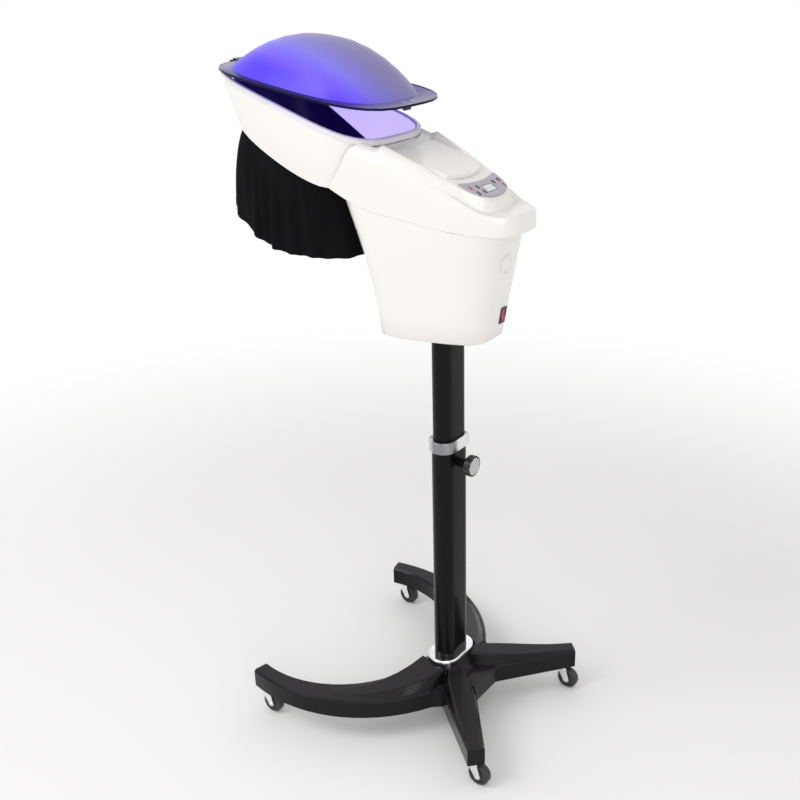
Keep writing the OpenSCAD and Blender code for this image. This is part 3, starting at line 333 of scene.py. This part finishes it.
# Joint plates and bolts: zinc-plated steel under the casting, out of sight from above.
# The plates are stamped and the bolts turned, so both keep a fine directional grain.
def metal(name, colour, roughness, grain, rubbed=0.08):
    """A metal with a cloudy shine and a fine grain, across the axis whose grain is largest."""
    made = Finish(name, Metallic=1.0)
    lines = made.noise(260, stretch=grain)
    cloudy = made.noise(22, detail=4)
    darker = tuple(c * 0.78 for c in colour)
    made.put(Base_Color=made.blend(made.step(cloudy, 0.3, 0.75), colour, darker))
    made.put(Roughness=roughness + (lines - 0.5) * rubbed + (cloudy - 0.5) * rubbed)
    return made.bump(lines, 0.00002)


zinc = metal("zinc_plated_steel", (0.55, 0.56, 0.58), 0.34, grain=(40, 1, 1))
for node in ("joint_plates", "leg_bolts"):
    dressed(node, "steel", zinc, "stand", edge=0.0004, steps=2)


# Foot ring and collar: die-cast and chromed. The ring at the foot is mirror bright, and the
# collar at the tube's mouth is satin from the hand that raises and lowers the head.
mirror = metal("bright_chrome", (0.94, 0.945, 0.96), 0.05, grain=(1, 1, 1), rubbed=0.03)
satin = metal("satin_chrome", (0.60, 0.60, 0.61), 0.26, grain=(1, 1, 40), rubbed=0.1)
# Painted reflections: upright dark and bright bands in the collar's colour stand for the studio
# reflected round it.
painted_reflection_bands = satin.step(satin.noise(34, detail=1, stretch=(1, 1, 0.03)), 0.38, 0.62)
satin.put(Base_Color=satin.blend(painted_reflection_bands, (0.27, 0.27, 0.28), (0.86, 0.86, 0.87)))
dressed("base_ring", "chrome", mirror, "stand", edge=0.0009)
dressed("clamp_collar", "chrome", satin, "stand", edge=0.0012)


# Column: two drawn oval tubes, powder coated gloss black. The upper one slides in a bush of
# grey nylon at the mouth of the lower one. The sockets of the casters are nylon as well.
powder = black_coat("black_powder_coat", side=(0.0040, 0.0038, 0.0042), top=(0.008, 0.008, 0.009),
                    gloss=0.08, grain=520, depth=0.00005)
dressed("lower_tube", "black_paint", powder, "stand", sharp=30, edge=0.0004, steps=2)
dressed("upper_tube", "black_paint", powder, "head", sharp=30, edge=0.0004, steps=2)


def moulding(name, colour, roughness, depth=0.00004, grain=1400, wear=0.06):
    """A moulded plastic with a spark-eroded grain."""
    made = Finish(name, Specular_IOR_Level=0.4)
    fine = made.noise(grain)
    cloudy = made.noise(30, detail=4)
    lighter = tuple(min(1, c * 1.12 + 0.001) for c in colour)
    made.put(Base_Color=made.blend(made.step(cloudy, 0.3, 0.7), colour, lighter))
    made.put(Roughness=roughness + (cloudy - 0.5) * wear + (fine - 0.5) * wear)
    return made.bump(fine, depth)


nylon = moulding("grey_nylon", (0.30, 0.30, 0.32), 0.5)
dressed("tube_bush", "grey_plastic", nylon, "stand", sharp=30)
dressed("caster_sockets", "grey_plastic", nylon, "stand", sharp=30)


# Casters: a chromed fork that swivels on a stem, and a twin-shouldered wheel of black nylon
# with a ribbed tread and a cap over the axle.
tread = moulding("black_nylon_wheel", (0.03, 0.03, 0.032), 0.42, depth=0.00008, grain=900)
for corner in ("fl", "fr", "rl", "rr"):
    dressed("caster_fork_" + corner, "chrome", mirror, "fork_" + corner, edge=0.0005, steps=2)
    dressed("caster_wheel_" + corner, "wheel_plastic", tread, "wheel_" + corner,
            sharp=25, edge=0.0006)


# Clamp knob: a fluted head moulded on a steel screw, with a bright disc pressed into its face.
# The disc has a brushed face with fine slanted cuts.
gloss_black = moulding("gloss_black_plastic", (0.008, 0.008, 0.009), 0.25, depth=0.00003)
dressed("clamp_knob", "black_plastic", gloss_black, "knob", sharp=40, edge=0.0005, steps=2)
turned = metal("turned_disc", (0.75, 0.76, 0.78), 0.22, grain=(1, 40, 1))
cuts = turned.wire.node("ShaderNodeTexWave", {"bands_direction": "DIAGONAL"},
                        {"Vector": turned.place, "Scale": 60.0, "Distortion": 0.4}, out="Fac")
cuts = turned.step(cuts, 0.55, 0.8)
turned.put(Base_Color=turned.blend(cuts, (0.8, 0.81, 0.83), (0.2, 0.2, 0.21)))
dressed("knob_disc", "chrome", turned, "knob", edge=0.0004, steps=2)
dressed("clamp_screw", "steel", zinc, "knob")


# Head frame, flange, tank, boiler and ducts: they are inside the casing, and plain.
# Steel sheet is zinc plated, the boiler is cast, and the tank and ducts are blow moulded.
milky = moulding("milky_polythene", (0.55, 0.56, 0.58), 0.45)
cast = metal("cast_boiler", (0.5, 0.5, 0.52), 0.45, grain=(1, 1, 1), rubbed=0.2)
board = moulding("circuit_board_green", (0.03, 0.14, 0.06), 0.4)
for node in ("mast_flange", "floor_screws", "head_frame"):
    dressed(node, "steel", zinc, "head", edge=0.0003, steps=2)
for node in ("water_tank", "steam_duct"):
    dressed(node, "grey_plastic", milky, "head", sharp=30)
dressed("boiler", "boiler", cast, "head", sharp=30)
dressed("circuit_board", "board", board, "head")


# Housing, casing and hood: injection-moulded ABS in warm white with a high gloss. The pieces
# meet in fine shadow lines, and the plastic has a barely visible flow in its surface.
white, cooler_white = (0.87, 0.845, 0.815), (0.85695, 0.832325, 0.80685)
shell_white = Finish("warm_white_abs", Coat_Weight=0.35, Coat_Roughness=0.08)
flow = shell_white.noise(7, detail=3)
cooler = shell_white.step(flow, 0.35, 0.7)
shell_white.put(Base_Color=shell_white.blend(cooler, white, cooler_white))
shell_white.put(Roughness=0.26 + (flow - 0.5) * 0.08)
shell_white.bump(shell_white.noise(1100), 0.00002)
dressed("upper_casing", "white_plastic", shell_white, "head", sharp=50, levels=1)
for node in ("lower_housing", "hood_shell"):
    dressed(node, "white_plastic", shell_white, "head", sharp=48, edge=0.0007, steps=2)
for node in ("housing_floor", "cap_ring", "steam_nozzle"):
    dressed(node, "white_plastic", shell_white, "head", edge=0.0006)
dressed("tank_cover", "white_plastic", shell_white, "tank_lid", edge=0.0008)
dressed("drain_cap", "white_plastic", shell_white, "drain", edge=0.0007)


# Hood liner and light: the liner has its light and shade painted on, a dark navy painted shade on
# its front and a violet painted light that glows on its rear, where a strip under the rim shines
# violet. The two meet in a slanted line.
def behind_slant(made):
    """0 on the front of the liner, in painted shade, and 1 behind the slanted line, where the
    light is painted on.
    """
    x, y, z = made.axes()
    rim_height, slope = 1.3365, 0.652
    return made.step(y + (z - rim_height) / slope, -0.2255, -0.2205)


liner_painted_light = Finish("liner_painted_light_and_shade", Roughness=0.3, Specular_IOR_Level=0.3,
                    Emission_Strength=1.0)
# Painted light and shade: the liner glows violet behind the slanted line, brighter towards the
# rim, and is painted dark navy in front of it, where shade falls.
painted_lit_share = behind_slant(liner_painted_light)
bottom_to_rim = liner_painted_light.step(liner_painted_light.axes()[2], 1.26, 1.38)
haze = liner_painted_light.noise(9)
glow = liner_painted_light.blend(bottom_to_rim * 0.6 + haze * 0.5, (0.55, 0.44, 1.0), (0.42, 0.37, 0.95))
liner_painted_light.put(Base_Color=liner_painted_light.blend(painted_lit_share, (0.003, 0.001, 0.022), (0.34, 0.30, 0.6)))
liner_painted_light.put(Emission_Color=liner_painted_light.blend(painted_lit_share, (0.002, 0.0, 0.022), glow))
dressed("hood_liner", "liner", liner_painted_light, "head", sharp=38)
strip = Finish("light_strip", Base_Color=(0.8, 0.75, 1.0), Roughness=0.4, Emission_Strength=1.5)
strip.put(Emission_Color=strip.blend(strip.noise(40), (0.55, 0.42, 1.0), (0.65, 0.5, 1.0)))
dressed("light_strip", "lamp", strip, "head")


# Rim trim, flange and dome: tinted acrylic. The trim is a pale lip with painted light and shade
# along the opening, the flange is smoked, and the dome is painted from a deep violet over the
# light inside to a grey lilac sheen towards its rear and top.
lip = Finish("pale_rim_lip", Roughness=0.25, Specular_IOR_Level=0.2)
x, y, z = lip.axes()
opening_middle, opening_half_length, squareness = column - 0.3195, 0.2055, 3.9
middle_half_width, widening = 0.1145, 0.0165
run = (y - opening_middle) / opening_half_length
reach = [lip.wire.math("POWER", lip.wire.math("ABSOLUTE", share), squareness)
         for share in (x / (middle_half_width + run * widening), run)]
outward = lip.wire.math("POWER", reach[0] + reach[1], 1 / squareness)
outward = lip.step(outward, 0.972, 0.985)
# Painted light and shade: the lip's edge along the opening follows the liner, dark navy in front
# and violet behind the slanted line.
painted_inward_edge = lip.blend(behind_slant(lip), (0.006, 0.003, 0.03), (0.42, 0.34, 0.85))
flecks = lip.blend(lip.step(lip.noise(60), 0.3, 0.7), (0.76, 0.73, 0.80), (0.80, 0.78, 0.82))
lip.put(Base_Color=lip.blend(outward, painted_inward_edge, flecks))
dressed("rim_trim", "white_plastic", lip, "head", sharp=30, edge=0.0005, steps=2)
smoked = Finish("smoked_acrylic", Roughness=0.12, Alpha=0.98, Specular_IOR_Level=0.06)
front_tip, flange_length = -0.37, 0.46
along = (smoked.axes()[1] - front_tip) / flange_length
along = smoked.ramp(along, (0, (0.42, 0.40, 0.55)), (0.14, (0.10, 0.08, 0.25)),
                    (0.26, (0.010, 0.005, 0.10)), (0.6, (0.016, 0.008, 0.15)),
                    (0.84, (0.06, 0.04, 0.30)), (1, (0.34, 0.32, 0.45)))
flange_edge = smoked.step(smoked.upward(), 0.7, 0.4)
smoked.put(Base_Color=smoked.blend(flange_edge, along, (0.012, 0.010, 0.035)))
dressed("lid_flange", "smoke", smoked, "lid", sharp=30, edge=0.0005, steps=2)
dome_tint = Finish("tinted_acrylic_dome", Roughness=0.34, Specular_IOR_Level=0.4, Coat_Weight=0.1,
                   Coat_Roughness=0.2)
x, y, z = dome_tint.axes()
dome_foot = 1.40
# Painted light: deep violet low on the dome and to its left, where the violet light inside shows
# through, and grey lilac higher, to the rear and to the right, where the sheen falls.
pale = (z - dome_foot) * 5 + y * 2 - x * 4 + (dome_tint.noise(7, detail=3) - 0.5) * 0.12
painted_glow_to_sheen = dome_tint.ramp(
    dome_tint.step(pale, -0.65, 0.3), (0, (0.065, 0.015, 0.90)), (0.12, (0.14, 0.065, 1.0)),
    (0.5, (0.20, 0.175, 0.74)), (1, (0.215, 0.185, 0.43)))
dome_tint.put(Base_Color=painted_glow_to_sheen)
dressed("lid_dome", "tint", dome_tint, "lid", sharp=60)


# Catch and hinge: small black mouldings on the flange and at the front of the hood, and the two
# steel screws that hold the catch.
for node in ("lid_catch", "hinge_leaf"):
    dressed(node, "black_plastic", gloss_black, "lid", edge=0.0005, steps=2)
dressed("lid_screws", "steel", zinc, "lid", edge=0.0004, steps=2)
dressed("hinge_bracket", "black_plastic", gloss_black, "head", edge=0.0006, steps=2)


# Control panel: a grey lilac film on a thin plate, with small black keys and red lamps. The pale
# display in its middle has a dark border and a few faint segments.
film = moulding("grey_lilac_film", (0.42, 0.39, 0.46), 0.4)
dressed("control_panel", "panel", film, "head", edge=0.0003, steps=2)
window_low, window_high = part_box("display_window")
glass = Finish("pale_display", Roughness=0.1)
x, y, z = glass.axes()
window_middle = (window_low.y + window_high.y) / 2
window_depth = window_high.y - window_low.y
across = glass.wire.math("ABSOLUTE", x / window_high.x)
down = glass.wire.math("ABSOLUTE", (y - window_middle) * 2.2 / window_depth)
border = glass.step(glass.wire.math("MAXIMUM", across, down), 0.86, 0.9)
segments = glass.step(glass.noise(260), 0.6, 0.62)
segments = glass.blend(segments, (0.74, 0.80, 0.82), (0.5, 0.56, 0.6))
glass.put(Base_Color=glass.blend(border, segments, (0.09, 0.09, 0.11)))
dressed("display_window", "display", glass, "head", edge=0.0002, steps=2)
red = moulding("red_plastic", (0.45, 0.02, 0.05), 0.25)
dressed("indicator_lamps", "red_plastic", red, "head", edge=0.0003, steps=2)
for number in range(1, 6):
    key = "key_%d" % number
    dressed(key, "black_plastic", gloss_black, key, edge=0.0004, steps=2)


# Mains switch and inlet: a black frame that snaps into the rear wall, a red rocker in it, and
# a three-pin inlet that faces down through the floor of the housing.
dressed("switch_frame", "black_plastic", gloss_black, "head", edge=0.0006, steps=2)
dressed("rocker_switch", "red_plastic", red, "rocker", edge=0.0005, steps=2)
dressed("power_inlet", "black_plastic", gloss_black, "head", edge=0.0004, steps=2)


# Curtain: black woven cloth gathered on a cord under the hood's lower edge. It hangs in soft
# folds that deepen towards the hem, and its hem is turned up and stitched.
def egg(turn, front, rear, front_half, rear_half, square):
    """A point on an egg from front to rear, at a turn from the rear. A high square is boxy."""
    to_the_sides = 1.8
    spread = math.atan2(to_the_sides * math.sin(turn), math.cos(turn))
    ahead, aside = math.cos(spread), math.sin(spread)
    reach = (abs(ahead) ** square + abs(aside) ** square) ** (-1 / square)
    run = reach * ahead
    half = front_half + (rear_half - front_half) * (1 + run) / 2
    return Vector((reach * aside * half, (front + rear) / 2 + run * (rear - front) / 2, 0))


hood_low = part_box("hood_shell")[0]
nape = -0.203
wrinkles = random.Random(7)
waves = [(wrinkles.randint(9, 40), wrinkles.uniform(0, 6.3), wrinkles.uniform(1, 5))
         for wave in range(9)]
round_steps, down_steps = 360, 48
folds, fold_depth, wrinkle_depth, stitch_depth, belly = 15, 0.0036, 0.0007, 0.0006, 0.009


def cloth_place(i, j):
    """A point of the cloth, at i of its steps round and j of its steps up from the hem."""
    turn = 2 * math.pi * i / round_steps
    down = 1 - j / down_steps
    top = egg(turn, front=-0.469, rear=nape - 0.004,
              front_half=0.0885, rear_half=0.115, square=4.5)
    hem = egg(turn, front=-0.522, rear=-0.167, front_half=0.106, rear_half=0.119, square=3.0)
    front = (1 - math.cos(turn)) / 2
    fold = fold_depth * down ** 0.7 * (0.75 + 0.25 * math.cos(3 * turn))
    fold *= math.cos(folds * turn + math.radians(20) * math.sin(2 * turn))
    for count, phase, lean in waves:
        fold += wrinkle_depth * down ** 0.5 * math.sin(count * turn + phase + lean * down)
    away = Vector((math.sin(turn), math.cos(turn), 0))
    swell = belly * math.sin(math.pi * down ** 0.7) * front ** 2
    climb = 0.098 * (max(0, (nape - top.y) / 0.27)) ** 1.6 + 0.6 * max(0, top.y - nape)
    drop = 0.142 + 0.128 * front - 0.100 * front ** 2
    uneven_hem = stitch_depth * down * math.cos(2 * folds * turn)
    z = hood_low.z + climb - stitch_depth - down * drop - uneven_hem
    turned_up = stitch_depth if down > 0.93 else 0
    outward = away * (fold + swell + turned_up)
    return top.lerp(hem, down ** 0.75) + outward + Vector((0, column, z))


cloth = Finish("black_woven_cloth", Roughness=0.9, Specular_IOR_Level=0.08)
weave = cloth.noise(1600, detail=1, stretch=(1, 1, 0.5))
worn = cloth.step(cloth.noise(12, detail=4), 0.35, 0.75)
cloth.put(Base_Color=cloth.blend(worn, (0.003, 0.003, 0.0035), (0.0055, 0.0052, 0.0075)))
cloth.bump(weave, 0.00012)
drape = loft("curtain_cloth", round_steps, down_steps, cloth_place)
seam = bmesh.new()
seam.from_mesh(drape.data)
bmesh.ops.remove_doubles(seam, verts=seam.verts, dist=1e-6)
cut_area = sum(face.calc_area() for face in seam.faces)
seam.to_mesh(drape.data)
seam.free()
thick = drape.modifiers.new("thick", "SOLIDIFY")
thick.thickness = 0.0011
thick.offset = 0
own(drape, "cloth", cloth, "head", "curtain")
# The flat size is a plain rectangle with about 3 % more area than the folded mesh. The mesh
# widens, from 0.87 m round at the top to 1.05 m at the hem, and is 0.15 to 0.19 m deep. The line
# below divides its area by a depth of 0.185 m, and nothing uses the result.
cut_area / 0.185


# Studio: a pale paper floor that fades into a white background, two large soft lamps and an
# even sky, at a level where a colour looks about as it is written.
def lamp(name, size, power, place, target):
    """A round soft lamp at place that is aimed at target."""
    light = bpy.data.lights.new(name, "AREA")
    light.shape = "DISK"
    light.size = size
    light.energy = power
    holder = bpy.data.objects.new(name, light)
    bpy.context.scene.collection.objects.link(holder)
    holder.location = place
    aim = Vector(target) - Vector(place)
    holder.rotation_euler = aim.to_track_quat("-Z", "Y").to_euler()


lamp("key", 1.8, 30, (1.9, -1.3, 2.9), (0, 0, 1.0))
lamp("fill", 2.2, 27, (2.3, 2.2, 1.7), (0, 0, 0.9))

floor_cells, cell = 8, 0.9
floor = loft("floor", floor_cells, floor_cells,
             lambda i, j: Vector((i - floor_cells / 2, j - floor_cells / 2, 0)) * cell)
paper = Finish("pale_floor", Roughness=0.9, Specular_IOR_Level=0.1, Base_Color=(0.95, 0.95, 0.95))
from_middle = paper.wire.node("ShaderNodeVectorMath", {"operation": "LENGTH"}, {0: paper.place},
                              out="Value")
paper.put(Alpha=1 - paper.step(from_middle, 0.9, 2.6))
floor.data.materials.append(paper.material)

world = bpy.data.worlds.new("studio")
bpy.context.scene.world = world
world.use_nodes = True
sky = Wire(world.node_tree)
camera_ray, glossy_ray, transmission_ray = [
    sky.node("ShaderNodeLightPath", out="Is %s Ray" % kind)
    for kind in ("Camera", "Glossy", "Transmission")]
seen = sky.math("MAXIMUM", camera_ray, glossy_ray)
seen = sky.math("MAXIMUM", seen, transmission_ray)
sky_light, background = (0.70, 0.695, 0.685), (1, 1, 1)
colour = sky.mix(seen, sky_light, background)
world.node_tree.links.new(colour.socket, world.node_tree.nodes["Background"].inputs["Color"])
bpy.context.scene.view_settings.view_transform = "Standard"
